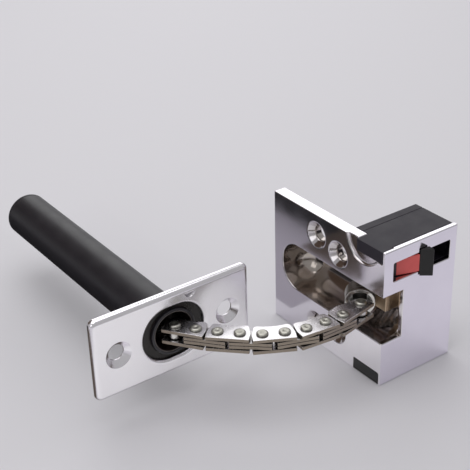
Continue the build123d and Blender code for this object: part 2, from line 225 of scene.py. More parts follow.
@dataclass(frozen=True)
class Finish:
    """A real material and the way its surface was made, with painted shade in crevices and on sheared walls
    and painted highlights on edges, where given.
    """

    name: str
    surface: Surface
    pale: str
    deep: str
    metallic: float
    smooth: float
    rough: float
    patch_mm: float
    grain_mm: float
    grain_depth: float
    ior: float = 1.5
    # Painted shade: a darker colour where ambient occlusion finds crevices, its reach, whether only the
    # piece itself counts, and the occlusion at which the shade is full
    crevice_shade: str = ""
    crevice_shade_mm: float = 1.0
    crevice_shade_own: bool = False
    crevice_shade_from: float = 0.0
    # Painted highlight: a paler colour on convex edges, and the radius within which they are found
    edge: str = ""
    edge_highlight_mm: float = 0.25
    # Sheared walls: a colour that is partly duller sheared steel and partly painted shade, and the roughness
    # that they add
    sheared_wall_shade: str = ""
    sheared_rough: float = 0.2

    def _grain(self, tree: Tree, place: Socket) -> Socket:
        """Makes the fine relief that the process leaves.

        Args:
            tree: The material's node tree.
            place: Object coordinates.

        Returns:
            A socket with the relief's height.
        """
        values = texture_scale(self.grain_mm)
        links = {"Vector": place}
        if self.surface is Surface.MOULDED:
            cells = add_node(tree, "ShaderNodeTexVoronoi", {"feature": "SMOOTH_F1"}, values, links)
            return cells.outputs["Distance"]
        if self.surface is Surface.TURNED:
            values["Distortion"] = RING_WANDER
            rings = add_node(tree, "ShaderNodeTexWave", {"bands_direction": "Y"}, values, links)
            return rings.outputs["Fac"]
        values["Detail"] = PEEL_DETAIL
        if self.surface is Surface.TUMBLED:
            values["Detail"] = SCRATCH_DETAIL
            run = add_node(tree, "ShaderNodeMapping", None, SCRATCH_RUN, links)
            links = {"Vector": run.outputs["Vector"]}
        return add_node(tree, "ShaderNodeTexNoise", None, values, links).outputs["Fac"]

    def _edge_highlight_mask(self, tree: Tree) -> Socket:
        """Finds convex edges, where a paler colour is painted as a highlight.

        Args:
            tree: The material's node tree.

        Returns:
            A socket that is one on edges and nought on flats.
        """
        radius = {"Radius": self.edge_highlight_mm * MM}
        rounded = add_node(tree, "ShaderNodeBevel", {"samples": EDGE_HIGHLIGHT_SAMPLES}, radius)
        true = add_node(tree, "ShaderNodeNewGeometry")
        normals = {0: rounded.outputs["Normal"], 1: true.outputs["Normal"]}
        part = add_node(tree, "ShaderNodeVectorMath", {"operation": "DOT_PRODUCT"}, None, normals)
        links = {"Value": part.outputs["Value"]}
        return add_node(tree, "ShaderNodeMapRange", None, spread(EDGE_HIGHLIGHT_SPAN), links).outputs["Result"]

    def _wall_mask(self, tree: Tree, normal: Socket) -> Socket:
        """Finds the walls of a flat stamping, where the press sheared it; their colour is partly painted
        shade.

        Args:
            tree: The material's node tree.
            normal: The surface's normal in object coordinates.

        Returns:
            A socket that is one on walls along Z and nought on flats.
        """
        height = add_node(tree, "ShaderNodeSeparateXYZ", links={0: normal}).outputs["Z"]
        level = add_node(tree, "ShaderNodeMath", {"operation": "ABSOLUTE"}, None, {0: height})
        links = {"Value": level.outputs["Value"]}
        return add_node(tree, "ShaderNodeMapRange", None, spread(WALL_SPAN), links).outputs["Result"]

    def _unshaded_mask(self, tree: Tree) -> Socket:
        """Finds open faces, as against crevices, where dark shade is painted.

        Args:
            tree: The material's node tree.

        Returns:
            A socket that is one on open faces and nought deep in crevices.
        """
        settings = {"samples": CREVICE_SHADE_SAMPLES, "only_local": self.crevice_shade_own}
        reach = {"Distance": self.crevice_shade_mm * MM}
        light = add_node(tree, "ShaderNodeAmbientOcclusion", settings, reach)
        values = spread((self.crevice_shade_from, 1.0))
        links = {"Value": light.outputs["AO"]}
        return add_node(tree, "ShaderNodeMapRange", None, values, links).outputs["Result"]

    def build(self) -> bpy.types.Material:
        """Makes the material.

        Returns:
            A material whose colour, roughness and relief come from object coordinates.
        """
        material = bpy.data.materials.new(self.name)
        material.use_nodes = True
        tree = material.node_tree
        coordinates = add_node(tree, "ShaderNodeTexCoord").outputs
        place = coordinates["Object"]
        values = {**texture_scale(self.patch_mm), **PATCHES}
        patch = add_node(tree, "ShaderNodeTexNoise", None, values, {"Vector": place}).outputs["Fac"]
        tones = {FIRST: linear(self.deep), SECOND: linear(self.pale)}
        colour = add_node(tree, "ShaderNodeMix", COLOURS, tones, {"Factor": patch}).outputs[MIXED]
        values = spread(PATCH_SPAN, (self.smooth, self.rough))
        rough = add_node(tree, "ShaderNodeMapRange", None, values, {"Value": patch}).outputs["Result"]
        # Sheared walls take a colour that is partly duller steel and partly painted shade, and get rougher
        if self.sheared_wall_shade:
            wall = self._wall_mask(tree, coordinates["Normal"])
            tones = {SECOND: linear(self.sheared_wall_shade)}
            links = {"Factor": wall, FIRST: colour}
            colour = add_node(tree, "ShaderNodeMix", COLOURS, tones, links).outputs[MIXED]
            settings = {"operation": "MULTIPLY_ADD"}
            links = {0: wall, 2: rough}
            dulled = add_node(tree, "ShaderNodeMath", settings, {1: self.sheared_rough}, links)
            rough = dulled.outputs["Value"]
        # Painted shade: the crevice colour is mixed in where ambient occlusion finds crevices
        if self.crevice_shade:
            tones = {FIRST: linear(self.crevice_shade)}
            links = {"Factor": self._unshaded_mask(tree), SECOND: colour}
            colour = add_node(tree, "ShaderNodeMix", COLOURS, tones, links).outputs[MIXED]
        # Painted highlight: the edge colour is mixed in on convex edges
        if self.edge:
            tones = {SECOND: linear(self.edge)}
            links = {"Factor": self._edge_highlight_mask(tree), FIRST: colour}
            colour = add_node(tree, "ShaderNodeMix", COLOURS, tones, links).outputs[MIXED]
        values = {"Strength": self.grain_depth, "Distance": RELIEF}
        relief = add_node(tree, "ShaderNodeBump", None, values, {"Height": self._grain(tree, place)})
        shader = tree.nodes["Principled BSDF"]
        shader.inputs["Metallic"].default_value = self.metallic
        shader.inputs["IOR"].default_value = self.ior
        made = {"Base Color": colour, "Roughness": rough, "Normal": relief.outputs["Normal"]}
        for label, socket in made.items():
            tree.links.new(socket, shader.inputs[label])
        return material


# Moulded grain, peel and scratches finer than about 0.2 mm wouldn't show in the render, so they are
# drawn coarser than they are.

# Nickel over polished zinc: a soft mirror with a faint lilac cast and a slow ripple from the casting, with a
# painted brown shade where its own walls close in
PLATED_ZINC = Finish(
    "bright_plated_zinc", Surface.PLATED, pale="#EDEAF0", deep="#E2DEE6",
    metallic=1.0, smooth=0.09, rough=0.16, patch_mm=9.0, grain_mm=1.6, grain_depth=0.05,
    crevice_shade="#A79D93", crevice_shade_mm=20.0, crevice_shade_own=True, crevice_shade_from=0.42,
)
# The same plating over the pressed steel of the face plate, which is a little more satin, with painted dark
# shade in its small recesses
PLATED_STEEL = Finish(
    "satin_plated_steel", Surface.PLATED, pale="#F8F5FA", deep="#F0EDF3",
    metallic=1.0, smooth=0.19, rough=0.27, patch_mm=9.0, grain_mm=1.2, grain_depth=0.05,
    crevice_shade="#2A2523", crevice_shade_mm=1.6,
)
# Stoved black on steel tube: a broad soft highlight with a little orange peel, and a paler painted highlight
# on its edges
BLACK_COATING = Finish(
    "stoved_black_coating", Surface.COATED, pale="#262329", deep="#1C1A20",
    metallic=0.0, smooth=0.36, rough=0.46, patch_mm=6.0, grain_mm=0.5, grain_depth=0.25,
    edge="#4A474C",
)
# Black ABS from a fine eroded tool: satin, with a paler painted highlight on its edges
BLACK_ABS = Finish(
    "moulded_black_abs", Surface.MOULDED, pale="#171517", deep="#100E10",
    metallic=0.0, smooth=0.3, rough=0.42, patch_mm=5.0, grain_mm=0.35, grain_depth=0.2,
    ior=1.42, edge="#454246",
)
# The housing's grey-black ABS, which is more matt, with a paler painted highlight on its edges
GREY_ABS = Finish(
    "moulded_grey_abs", Surface.MOULDED, pale="#2A2630", deep="#231F28",
    metallic=0.0, smooth=0.46, rough=0.58, patch_mm=6.0, grain_mm=0.35, grain_depth=0.2,
    ior=1.38, edge="#5C585F",
)
# Red ABS of the sliding flag: a soft coral red with a satin shine
RED_ABS = Finish(
    "moulded_red_abs", Surface.MOULDED, pale="#E8635F", deep="#DA5652",
    metallic=0.0, smooth=0.28, rough=0.38, patch_mm=4.0, grain_mm=0.35, grain_depth=0.12,
    ior=1.53,
)
# Stamped steel plates, tumbled and plated white: bright with fine scratches, with painted dark shade in the
# gaps and a brown-grey on the sheared walls that is partly duller steel and partly painted shade
STAMPED_STEEL = Finish(
    "stamped_plated_steel", Surface.TUMBLED, pale="#F3F1F4", deep="#E6E3E7",
    metallic=1.0, smooth=0.2, rough=0.3, patch_mm=2.5, grain_mm=0.25, grain_depth=0.12,
    crevice_shade="#5E5850", sheared_wall_shade="#94897E",
)
# Spun rivet heads: greyer, a little yellow, duller than the plates, with painted dark shade where they meet
# the plates
RIVET_STEEL = Finish(
    "spun_rivet_steel", Surface.TUMBLED, pale="#C4C2BA", deep="#A9A79F",
    metallic=1.0, smooth=0.28, rough=0.42, patch_mm=0.8, grain_mm=0.2, grain_depth=0.3,
    crevice_shade="#3A3732",
)
# Turned and plated steel of the knob, draw head and screws: bright, with fine turning lines, and painted
# dark shade in hollows such as the knob's cup
TURNED_STEEL = Finish(
    "turned_steel", Surface.TURNED, pale="#F2F0EE", deep="#DEDAD6",
    metallic=1.0, smooth=0.14, rough=0.24, patch_mm=3.0, grain_mm=0.3, grain_depth=0.1,
    crevice_shade="#1B1714", crevice_shade_mm=3.0,
)
# Plain steel of the lock bolt under a film of oil, which tints it tan, with a paler painted highlight on its
# edges
OILED_STEEL = Finish(
    "oiled_plain_steel", Surface.TUMBLED, pale="#CDB79B", deep="#B19A7F",
    metallic=1.0, smooth=0.3, rough=0.42, patch_mm=2.0, grain_mm=0.3, grain_depth=0.25,
    edge="#E6D6C0",
)
# Brown-black plastic of the collar and bush in the mouth, with painted dark shade in its recesses and a
# paler painted highlight on its edges
MOUTH_ABS = Finish(
    "moulded_mouth_abs", Surface.MOULDED, pale="#211A18", deep="#181312",
    metallic=0.0, smooth=0.24, rough=0.36, patch_mm=4.0, grain_mm=0.35, grain_depth=0.15,
    ior=1.42,
    crevice_shade="#0E0B0A", crevice_shade_mm=2.0, edge="#8A817D", edge_highlight_mm=0.22,
)
# Drawn spring wire: a satin grey with fine lines
SPRING_WIRE = Finish(
    "drawn_spring_wire", Surface.TUMBLED, pale="#B9B7B5", deep="#9A9896",
    metallic=1.0, smooth=0.25, rough=0.38, patch_mm=2.0, grain_mm=0.2, grain_depth=0.2,
)


def new_piece(name: str, mesh: bpy.types.Mesh) -> Piece:
    """Links a new object at the origin for a mesh.

    Args:
        name: The object's name.
        mesh: Its mesh.

    Returns:
        The new object.
    """
    obj = bpy.data.objects.new(name, mesh)
    bpy.context.scene.collection.objects.link(obj)
    return obj


def shaped_piece(name: str, shape: bmesh.types.BMesh) -> Piece:
    """Makes an object of a shape, and frees the shape.

    Args:
        name: The object's name.
        shape: The shape that becomes its mesh.

    Returns:
        The new object.
    """
    mesh = bpy.data.meshes.new(name)
    shape.to_mesh(mesh)
    shape.free()
    return new_piece(name, mesh)


def bake(obj: Piece) -> None:
    """Puts the result of an object's modifiers in its mesh.

    Args:
        obj: The object, which loses its modifiers.
    """
    graph = bpy.context.evaluated_depsgraph_get()
    mesh = bpy.data.meshes.new_from_object(obj.evaluated_get(graph))
    old = obj.data
    obj.modifiers.clear()
    obj.data = mesh
    bpy.data.meshes.remove(old)
    mesh.name = obj.name


def settle(obj: Piece) -> Piece:
    """Turns an object's modifiers to a plain mesh with true flats, smooth rounds and sharp creases.

    Args:
        obj: The object with modifiers.

    Returns:
        The same object.
    """
    bake(obj)
    obj.data.shade_smooth()
    obj.data.set_sharp_from_angle(angle=SMOOTH_ANGLE)
    flats = obj.modifiers.new("flat_faces", "WEIGHTED_NORMAL")
    flats.keep_sharp = True
    bake(obj)
    return obj


@dataclass(frozen=True)
class EdgeBreak:
    """The small round that a casting, stamping or moulding has on its edges."""

    width_mm: float
    steps: int = 3
    angle: float = BEVEL_ANGLE
    least_mm: float = 0.0

    def _weigh(self, mesh: bpy.types.Mesh) -> None:
        """Marks the edges to round, apart from those of faces that are too narrow for it.

        Args:
            mesh: The mesh, which gets the marks.
        """
        shape = bmesh.new()
        shape.from_mesh(mesh)
        weight = shape.edges.layers.float.new("bevel_weight_edge")
        for edge in shape.edges:
            start = edge.verts[0].co
            along = (edge.verts[1].co - start).normalized()
            across = [max((v.co - start).cross(along).length for v in f.verts) for f in edge.link_faces]
            if edge.calc_face_angle(0) > self.angle and min(across) > self.least_mm * MM:
                edge[weight] = 1.0
        shape.to_mesh(mesh)
        shape.free()

    def finish(self, obj: Piece) -> Piece:
        """Rounds an object's edges and settles its mesh.

        Args:
            obj: The object with sharp edges.

        Returns:
            The same object.
        """
        bevel = obj.modifiers.new("edge_break", "BEVEL")
        bevel.width = self.width_mm * MM
        bevel.segments = self.steps
        bevel.limit_method = "ANGLE"
        bevel.angle_limit = self.angle
        if self.least_mm:
            self._weigh(obj.data)
            bevel.limit_method = "WEIGHT"
        bevel.use_clamp_overlap = False
        bevel.miter_outer = "MITER_ARC"
        return settle(obj)


def join_flats(shape: bmesh.types.BMesh) -> None:
    """Joins neighbouring faces that lie in one plane."""
    bmesh.ops.dissolve_limit(
        shape, angle_limit=FLAT_ANGLE, use_dissolve_boundaries=False, verts=shape.verts, edges=shape.edges
    )


def rounded_copy(name: str, source: Piece, edge: EdgeBreak) -> Piece:
    """Copies a node's mesh, joins its loose triangles to clean faces and rounds its edges.

    Args:
        name: The new piece's name.
        source: The frame's node.
        edge: The round on its edges.

    Returns:
        The new piece.
    """
    shape = bmesh.new()
    shape.from_mesh(source.data)
    bmesh.ops.remove_doubles(shape, verts=shape.verts, dist=MERGE)
    join_flats(shape)
    return edge.finish(shaped_piece(name, shape))


def ringed(name: str, rings: Sequence[Sequence[Vector]], closed: bool = False) -> Piece:
    """Makes a closed solid from rings of points, joined by quads.

    Args:
        name: The solid's name.
        rings: The rings, each with the same number of points.
        closed: Whether the last ring joins the first, as in a tube. Otherwise both ends are capped.

    Returns:
        The solid, in the units of its points.
    """
    shape = bmesh.new()
    rows = [[shape.verts.new(p) for p in ring] for ring in rings]
    pairs = list(zip(rows, rows[1:]))
    if closed:
        pairs.append((rows[-1], rows[0]))
    else:
        shape.faces.new(rows[0])
        shape.faces.new(rows[-1])
    for low, high in pairs:
        for i in range(len(low)):
            shape.faces.new((low[i - 1], low[i], high[i], high[i - 1]))
    bmesh.ops.remove_doubles(shape, verts=shape.verts, dist=MERGE)
    bmesh.ops.recalc_face_normals(shape, faces=shape.faces)
    return shaped_piece(name, shape)


def turned(
    name: str, place: Matrix, stations: Sequence[Point], steps: int = 64, closed: bool = False
) -> Piece:
    """Makes a round solid along the local Z axis.

    Args:
        name: The solid's name.
        place: Where the solid stands.
        stations: Points of distance and radius along its axis.
        steps: How many steps make a full turn.
        closed: Whether the last station joins the first, as in a tube.

    Returns:
        The solid.
    """
    turn = [2 * math.pi * i / steps for i in range(steps)]
    rings = [[place @ Vector((r * math.cos(a), r * math.sin(a), z)) for a in turn] for z, r in stations]
    return ringed(name, rings, closed)


def sink_stations(hole: float, sink: float, thick: float, over: float) -> list[Point]:
    """Stations of a tool for a square-angled countersunk hole through a thickness."""
    return [(-over, sink + over), (sink - hole, hole), (thick + over, hole)]


def block(low: Sequence[float], high: Sequence[float]) -> Piece:
    """Makes a block between two corners."""
    plan = ((low[0], low[1]), (high[0], low[1]), (high[0], high[1]), (low[0], high[1]))
    return ringed("block", [[Vector((x, y, z)) for x, y in plan] for z in (low[2], high[2])])


def carve(base: Piece, tool: Piece, carving: Carving = Carving.CUT) -> None:
    """Cuts a tool from a solid, or joins it on, and removes the tool.

    Args:
        base: The solid.
        tool: The tool's own solid.
        carving: What the tool does.
    """
    cut = base.modifiers.new("carve", "BOOLEAN")
    cut.operation = carving.value
    cut.solver = "EXACT"
    cut.object = tool
    bake(base)
    bpy.data.objects.remove(tool)


def arc(centre: Point, radius: float, start: float, end: float, steps: int) -> list[Point]:
    """Points along an arc, its angles in degrees."""
    turn = [math.radians(start + (end - start) * i / steps) for i in range(steps + 1)]
    return [(centre[0] + radius * math.cos(a), centre[1] + radius * math.sin(a)) for a in turn]


def rounded_box(width: float, height: float, radius: float, steps: int) -> list[Point]:
    """Points round a rectangle with rounded corners, its middle on the origin.

    Args:
        width: Its size along the first axis.
        height: Its size along the second axis.
        radius: The corners' radius.
        steps: How many steps each corner has.

    Returns:
        Points anticlockwise from the first corner.
    """
    x, y = width / 2 - radius, height / 2 - radius
    corners = ((x, y, 0), (-x, y, 90), (-x, -y, 180), (x, -y, 270))
    return [p for cx, cy, start in corners for p in arc((cx, cy), radius, start, start + 90, steps)]


def rounded_corner(before: Point, corner: Point, after: Point, radius: float, steps: int = 6) -> list[Point]:
    """Points that round one corner of an outline.

    Args:
        before: The point before the corner.
        corner: The sharp corner.
        after: The point after it.
        radius: The round's radius.
        steps: How many steps the round has.

    Returns:
        Points from the one straight run to the other.
    """
    c = Vector(corner)
    a = (Vector(before) - c).normalized()
    b = (Vector(after) - c).normalized()
    half = a.angle(b) / 2
    reach = radius / math.tan(half)
    middle = c + (a + b).normalized() * (radius / math.sin(half))
    first = c + a * reach - middle
    last = c + b * reach - middle
    turn = first.angle_signed(last)
    points = []
    for i in range(steps + 1):
        spot = first.copy()
        spot.rotate(Matrix.Rotation(-turn * i / steps, 2))
        points.append((middle.x + spot.x, middle.y + spot.y))
    return points


def pierced_plate(
    name: str, outline: Sequence[Point], holes: Sequence[Sequence[Point]], thick: float, edge: EdgeBreak
) -> Piece:
    """Makes a flat plate with holes, its underside on Z = 0.

    Args:
        name: The plate's name.
        outline: The outline in millimetres.
        holes: The outline of each hole.
        thick: The plate's thickness in millimetres.
        edge: The round on its edges.

    Returns:
        The plate.
    """
    shape = bmesh.new()
    edges = []
    for loop in (outline, *holes):
        verts = [shape.verts.new((x * MM, y * MM, 0)) for x, y in loop]
        edges += [shape.edges.new((verts[i - 1], verts[i])) for i in range(len(verts))]
    bmesh.ops.triangle_fill(shape, edges=edges, use_beauty=True)
    join_flats(shape)
    raised = bmesh.ops.extrude_face_region(shape, geom=shape.faces[:])
    tops = [v for v in raised["geom"] if isinstance(v, bmesh.types.BMVert)]
    bmesh.ops.translate(shape, verts=tops, vec=(0, 0, thick * MM))
    bmesh.ops.recalc_face_normals(shape, faces=shape.faces)
    return edge.finish(shaped_piece(name, shape))


class Repeater:
    """A geometry tree with named inputs, which makes what repeats or winds."""

    def __init__(self, name: str, inputs: dict[str, str]) -> None:
        """Starts a tree.

        Args:
            name: The tree's name.
            inputs: The socket type of each named input.
        """
        self.tree = bpy.data.node_groups.new(name, "GeometryNodeTree")
        self.tree.interface.new_socket("Geometry", in_out="OUTPUT", socket_type="NodeSocketGeometry")
        self.ids: dict[str, str] = {}
        for label, kind in {**inputs, "Finish": "NodeSocketMaterial"}.items():
            socket = self.tree.interface.new_socket(label, in_out="INPUT", socket_type=kind)
            self.ids[label] = socket.identifier
        self.start = add_node(self.tree, "NodeGroupInput")

    def end(self, shape: Socket) -> None:
        """Closes the tree with its real mesh and its material.

        Args:
            shape: The socket with what the tree has made.
        """
        real = add_node(self.tree, "GeometryNodeRealizeInstances", links={"Geometry": shape})
        links = {"Geometry": real.outputs["Geometry"], "Material": self.start.outputs["Finish"]}
        dressed = add_node(self.tree, "GeometryNodeSetMaterial", links=links)
        add_node(self.tree, "NodeGroupOutput", links={0: dressed.outputs["Geometry"]})

    def make(self, name: str, finish: bpy.types.Material, values: dict[str, Any]) -> Piece:
        """Runs the tree once.

        Args:
            name: The new piece's name.
            finish: Its material.
            values: What each of the other named inputs holds.

        Returns:
            The piece as a plain mesh.
        """
        obj = new_piece(name, bpy.data.meshes.new(name))
        modifier = obj.modifiers.new("repeat", "NODES")
        modifier.node_group = self.tree
        for label, value in {**values, "Finish": finish}.items():
            modifier[self.ids[label]] = value
        return settle(obj)


def row_repeater() -> Repeater:
    """A tree that sets copies of a pattern in a row, such as rivets, screws or the plates of a link.

    Returns:
        The tree, with the pattern, the first one's place, the step, the count and the turn as inputs.
    """
    vectors = {label: "NodeSocketVector" for label in ("First", "Step", "Turn")}
    made = Repeater("pattern_row", {"Pattern": "NodeSocketObject", "Count": "NodeSocketInt", **vectors})
    out = made.start.outputs
    links = {"Count": out["Count"], "Start Location": out["First"], "Offset": out["Step"]}
    row = add_node(made.tree, "GeometryNodeMeshLine", {"mode": "OFFSET"}, None, links)
    pattern = add_node(made.tree, "GeometryNodeObjectInfo", links={"Object": out["Pattern"]})
    links = {"Points": row.outputs["Mesh"], "Instance": pattern.outputs["Geometry"], "Rotation": out["Turn"]}
    placed = add_node(made.tree, "GeometryNodeInstanceOnPoints", links=links)
    made.end(placed.outputs["Instances"])
    return made


def coil_repeater(steps: int, sides: int) -> Repeater:
    """A tree that winds a wire about the Y axis.

    Args:
        steps: How many steps make one turn of the coil.
        sides: How many sides the wire has.

    Returns:
        The tree, with the coil's turns, radius, length, wire and start as inputs.
    """
    sizes = {label: "NodeSocketFloat" for label in ("Turns", "Radius", "Length", "Wire")}
    made = Repeater("wound_coil", {**sizes, "Start": "NodeSocketVector"})
    out = made.start.outputs
    links = {"Rotations": out["Turns"], "Height": out["Length"]}
    links |= {"Start Radius": out["Radius"], "End Radius": out["Radius"]}
    coil = add_node(made.tree, "GeometryNodeCurveSpiral", None, {"Resolution": steps}, links)
    links = {"Radius": out["Wire"]}
    section = add_node(made.tree, "GeometryNodeCurvePrimitiveCircle", None, {"Resolution": sides}, links)
    links = {"Curve": coil.outputs["Curve"], "Profile Curve": section.outputs["Curve"]}
    wire = add_node(made.tree, "GeometryNodeCurveToMesh", None, {"Fill Caps": True}, links)
    links = {"Geometry": wire.outputs["Mesh"], "Translation": out["Start"]}
    laid = add_node(made.tree, "GeometryNodeTransform", None, {"Rotation": (-math.pi / 2, 0, 0)}, links)
    made.end(laid.outputs["Geometry"])
    return made


@dataclass
class Workshop:
    """The frame, the built finishes and the one way that pieces join the frame."""

    frame: dict[str, Any]
    finishes: dict[str, bpy.types.Material] = field(default_factory=dict)

    def material(self, finish: Finish) -> bpy.types.Material:
        """Gives the material of a finish, made once.

        Args:
            finish: The finish.

        Returns:
            Its material.
        """
        if finish.name not in self.finishes:
            self.finishes[finish.name] = finish.build()
        return self.finishes[finish.name]

    def body_of(self, node: str) -> str:
        """Names the body that carries a node."""
        bodies = self.frame["record"]["behaviour"]["bodies"]
        return next(name for name, nodes in bodies.items() if node in nodes)

    def dress(self, piece: Piece, finish: Finish, *nodes: str) -> Piece:
        """Gives a piece its finish, and lets it stand for its nodes.

        Args:
            piece: The new piece.
            finish: Its finish.
            nodes: The nodes that it stands for.

        Returns:
            The same piece.
        """
        piece.data.materials.clear()
        piece.data.materials.append(self.material(finish))
        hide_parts(*nodes)
        LOG.info("%s stands for %s", piece.name, ", ".join(nodes))
        return piece

    def fit(self, piece: Piece, finish: Finish, *nodes: str) -> Piece:
        """Dresses a piece that moves with its nodes, all on one body."""
        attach(piece, self.body_of(nodes[0]))
        return self.dress(piece, finish, *nodes)

    def rounded(self, name: str, node: str, finish: Finish, edge: EdgeBreak) -> Piece:
        """Sets a rounded copy of a node in its place."""
        return self.fit(rounded_copy(name, self.frame["nodes"][node], edge), finish, node)

    def pins(self) -> list[Vector]:
        """Gives the chain's pin centres in metres, from the tube to the knob."""
        turns = [j for j in self.frame["joints"] if j["type"] == "hinge"]
        return [Vector(j["pos_m"]) for j in turns]


@dataclass
class FacePlate:
    """The pressed face plate, in millimetres, its back on Y = 0 and its face towards the viewer."""

    corner_mm: float = 1.9
    round_mm: float = 1.6
    mouth_mm: Point = (21.0, 17.3)
    mouth_round_mm: float = 1.2
    screw_x_mm: float = 18.9
    hole_radius_mm: float = 2.5
    sink_radius_mm: float = 4.3
    stake_mm: Point = (5.9, 11.7)
    stake_radius_mm: float = 1.75
    stake_slant_deg: float = 25.0
    over_mm: float = 0.5
    steps: int = 18
    edge: EdgeBreak = EdgeBreak(0.12)

    def _ring(self, width: float, height: float, radius: float, y: float) -> list[Vector]:
        """Draws a rounded outline at a depth."""
        return [Vector((x, y, z)) for x, z in rounded_box(width, height, radius, self.steps)]

    def _blank(self, name: str, length: float, height: float, thick: float) -> Piece:
        """Presses the blank with its rounded face edge.

        Args:
            name: The piece's name.
            length: The plate's length.
            height: Its height.
            thick: Its thickness.

        Returns:
            The blank in millimetres, its back on Y = 0.
        """
        r = self.round_mm
        rings = [self._ring(length, height, self.corner_mm, 0)]
        for i in range(self.steps + 1):
            a = math.pi / 2 * i / self.steps
            inset = r * (1 - math.cos(a))
            y = r - thick - r * math.sin(a)
            rings.append(self._ring(length - 2 * inset, height - 2 * inset, self.corner_mm - inset, y))
        return ringed(name, rings)

    def _mouth(self, thick: float) -> Piece:
        """Makes the tool for the mouth, which flares at the face.

        Args:
            thick: The plate's thickness.

        Returns:
            The tool.
        """
        r = self.mouth_round_mm
        grown = [(0.0, self.over_mm)]
        for i in range(self.steps):
            a = math.pi / 2 * i / self.steps
            grown.append((r * (1 - math.cos(a)), r - thick - r * math.sin(a)))
        slope = math.tan(math.pi / 2 * (1 - 1 / self.steps))
        proud = grown[-1][1] + thick + self.edge.width_mm
        grown.append((grown[-1][0] + proud * slope, -thick - self.edge.width_mm))
        width, height = self.mouth_mm
        rings = [self._ring(width + 2 * g, height + 2 * g, height / 2 + g, y) for g, y in grown]
        return ringed("mouth", rings)

    def build(self, name: str, low: Vector, high: Vector) -> Piece:
        """Presses and pierces the plate.

        Args:
            name: The piece's name.
            low: The plate's low corner in metres.
            high: Its high corner in metres.

        Returns:
            The plate in its place.
        """
        length, thick, height = (high - low) / MM
        plate = self._blank(name, length, height, thick)
        carve(plate, self._mouth(thick))
        sink = sink_stations(self.hole_radius_mm, self.sink_radius_mm, thick, self.over_mm)
        for x in (-self.screw_x_mm, self.screw_x_mm):
            carve(plate, turned("sink", Matrix.Translation((x, -thick, 0)) @ ALONG_Y, sink))
        slant = Matrix.Rotation(math.radians(self.stake_slant_deg), 4, "X")
        spot = Matrix.Translation((self.stake_mm[0], -thick, self.stake_mm[1])) @ slant @ ALONG_Y
        punch = self.stake_radius_mm
        carve(plate, turned("punch", spot, [(-2 * punch, punch), (0.0, punch)]))
        middle = Matrix.Translation(((low.x + high.x) / 2, high.y, (low.z + high.z) / 2))
        plate.data.transform(middle @ TO_METRES)
        return self.edge.finish(plate)


@dataclass
class DoorUnit:
    """The face plate, its collar, and the tube with what it holds."""

    shop: Workshop
    plate: FacePlate = field(default_factory=FacePlate)
    moulded_edge: EdgeBreak = EdgeBreak(0.15)
    tube_edge: EdgeBreak = EdgeBreak(0.25)
    cap_edge: EdgeBreak = EdgeBreak(0.12, 2)
    head_edge: EdgeBreak = EdgeBreak(0.15, 2)
    tube_steps: int = 128
    wall_mm: float = 0.9
    spring_turns: float = 9.0
    spring_wire_mm: float = 0.8
    coil_steps: int = 36
    wire_sides: int = 10

    def build(self) -> None:
        """Builds and dresses every piece of the unit."""
        shop = self.shop
        plate = self.plate.build("plated_face_plate", *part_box("face_plate"))
        shop.fit(plate, PLATED_STEEL, "face_plate")
        shop.rounded("mouth_collar", "plate_collar", MOUTH_ABS, self.moulded_edge)
        self._tube()
        shop.rounded("tube_end_cap", "end_cap", BLACK_COATING, self.cap_edge)
        shop.rounded("mouth_bush", "guide_bush", MOUTH_ABS, self.cap_edge)
        shop.rounded("chain_draw_head", "draw_head", TURNED_STEEL, self.head_edge)
        self._spring()

    def _tube(self) -> None:
        """Turns the tube from its length and radius."""
        low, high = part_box("tube")
        place = Matrix.Translation((0, low.y, 0)) @ ALONG_Y @ TO_METRES
        length = (high.y - low.y) / MM
        radius = (high.x - low.x) / 2 / MM
        bore = radius - self.wall_mm
        stations = [(0.0, bore), (0.0, radius), (length, radius), (length, bore)]
        tube = turned("coated_tube", place, stations, self.tube_steps, closed=True)
        self.shop.fit(self.tube_edge.finish(tube), BLACK_COATING, "tube")

    def _spring(self) -> None:
        """Winds the return spring in its place in the tube."""
        low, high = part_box("return_spring")
        wire = self.spring_wire_mm * MM
        spring = coil_repeater(self.coil_steps, self.wire_sides).make(
            "wound_return_spring",
            self.shop.material(SPRING_WIRE),
            {
                "Turns": self.spring_turns,
                "Radius": (high.x - low.x - wire) / 2,
                "Length": high.y - low.y - wire,
                "Wire": wire / 2,
                "Start": (0, low.y + wire / 2, 0),
            },
        )
        self.shop.body_of("return_spring")
        self.shop.body_of("draw_head")
        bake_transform(spring)
        self.shop.dress(spring, SPRING_WIRE, "return_spring")


